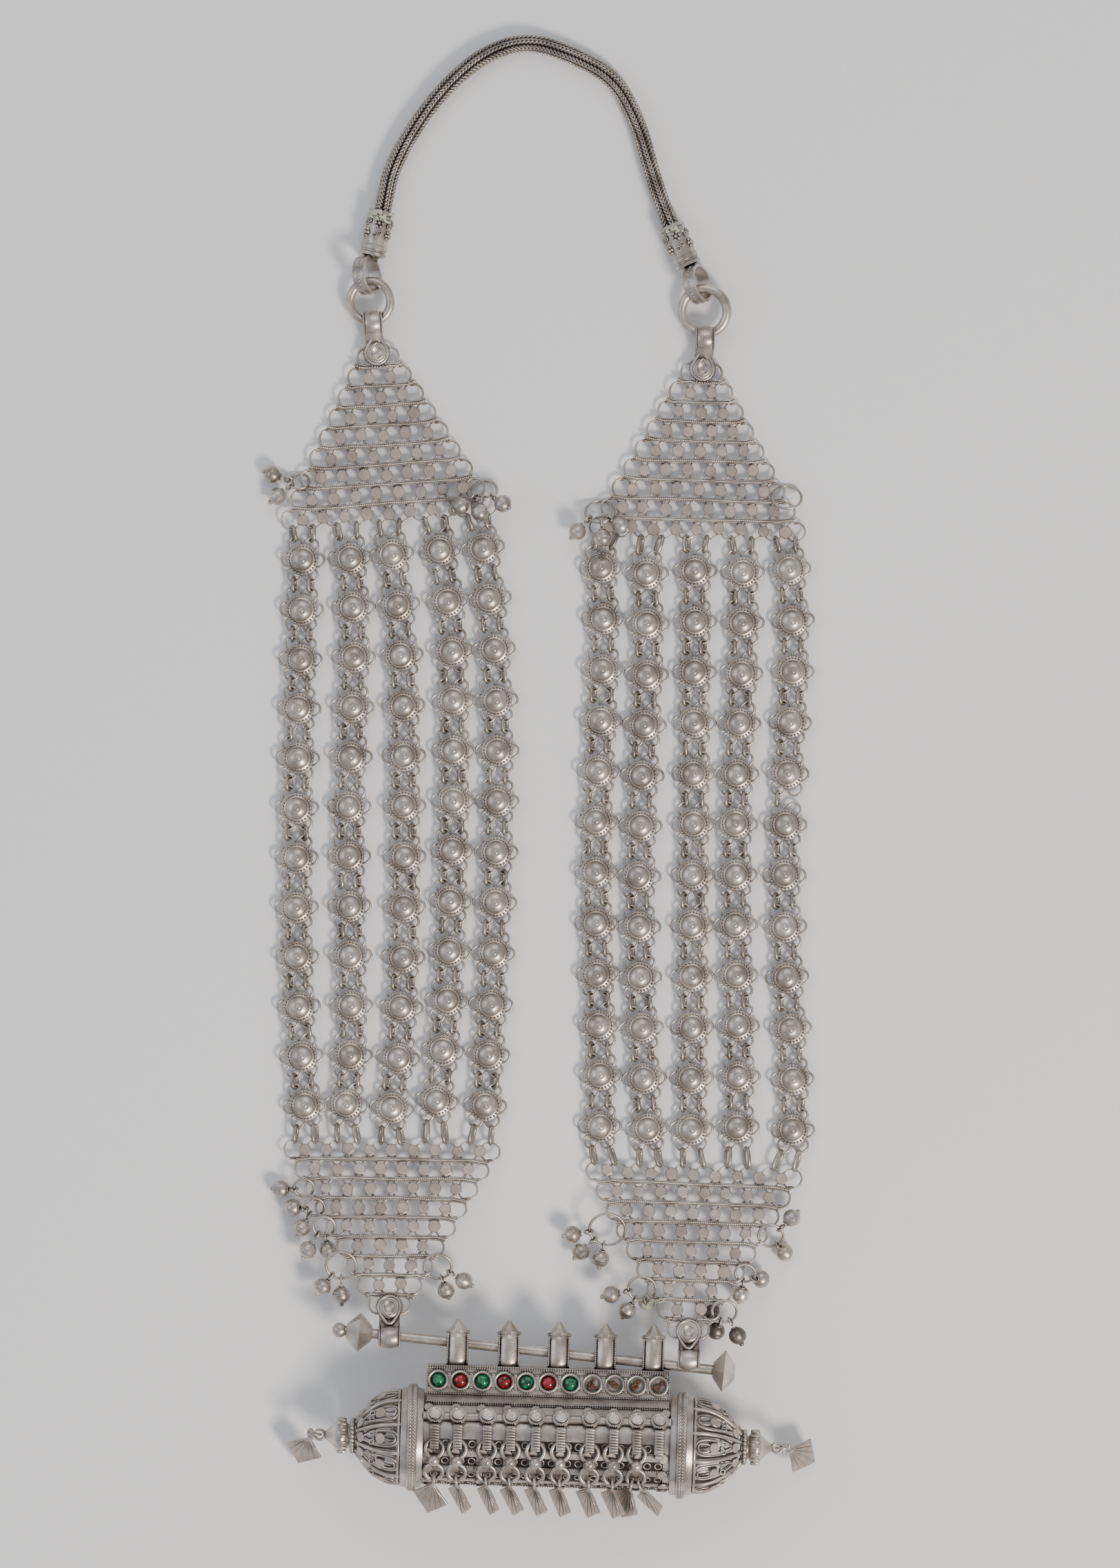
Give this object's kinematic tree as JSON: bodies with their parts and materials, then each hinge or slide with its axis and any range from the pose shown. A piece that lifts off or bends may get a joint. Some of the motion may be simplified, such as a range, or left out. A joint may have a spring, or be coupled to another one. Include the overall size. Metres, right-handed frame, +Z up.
{
  "type": "necklace",
  "caption": "Laid-out folk necklace: plaited neck chain, triangular ring lattices, rosette strands and a cylindrical amulet case on a rod, with small bells and leaf drops.",
  "frame": {"origin": "middle of the bounding box in X and Y, on the surface that the laid-out necklace lies on", "axes": "+X to the right of the laid-out necklace, +Y from the amulet case to the neck chain, +Z up from the surface"},
  "size_m": [0.2008, 0.5372, 0.0389],
  "materials": {
    "silver": "tarnished silver, darker in the recesses",
    "plaited_silver": "tarnished plaited silver wire",
    "red_glass": "polished red glass over foil",
    "green_glass": "polished green glass over foil"
  },
  "bodies": {
    "necklace": {"left_chain_cap": "silver", "left_lower_bells_end": "silver", "left_lower_bells_inner": "silver", "left_lower_bells_middle": "silver", "left_lower_bells_top": "silver", "left_lower_bells_upper": "silver", "left_lower_lattice": "silver", "left_ring": "silver", "left_strand_1": "silver", "left_strand_2": "silver", "left_strand_3": "silver", "left_strand_4": "silver", "left_strand_5": "silver", "left_upper_bells_inner": "silver", "left_upper_bells_outer": "silver", "left_upper_lattice": "silver", "neck_chain": "plaited_silver", "right_chain_cap": "silver", "right_lower_bells_end": "silver", "right_lower_bells_inner": "silver", "right_lower_bells_outer": "silver", "right_lower_bells_side": "silver", "right_lower_bells_tip": "silver", "right_lower_lattice": "silver", "right_ring": "silver", "right_strand_1": "silver", "right_strand_2": "silver", "right_strand_3": "silver", "right_strand_4": "silver", "right_strand_5": "silver", "right_upper_bells_inner": "silver", "right_upper_lattice": "silver", "right_upper_open_ring": "silver", "rod": "silver"},
    "case": {"case_barrel": "silver", "drop_1": "silver", "drop_2": "silver", "drop_3": "silver", "drop_4": "silver", "drop_5": "silver", "drop_6": "silver", "drop_7": "silver", "drop_8": "silver", "drop_9": "silver", "left_dome": "silver", "left_finial_drop": "silver", "right_dome": "silver", "right_finial_drop": "silver", "stone_1": "green_glass", "stone_2": "red_glass", "stone_3": "green_glass", "stone_4": "red_glass", "stone_5": "green_glass", "stone_6": "red_glass", "stone_7": "green_glass"}
  },
  "joints": [
    {"name": "case_swing", "type": "hinge", "parent": "necklace", "child": "case", "pos_m": [0.003, -0.2088, 0.0191], "axis": [-0.9943, 0.1063, 0], "range_deg": [-90, 120]}
  ]
}
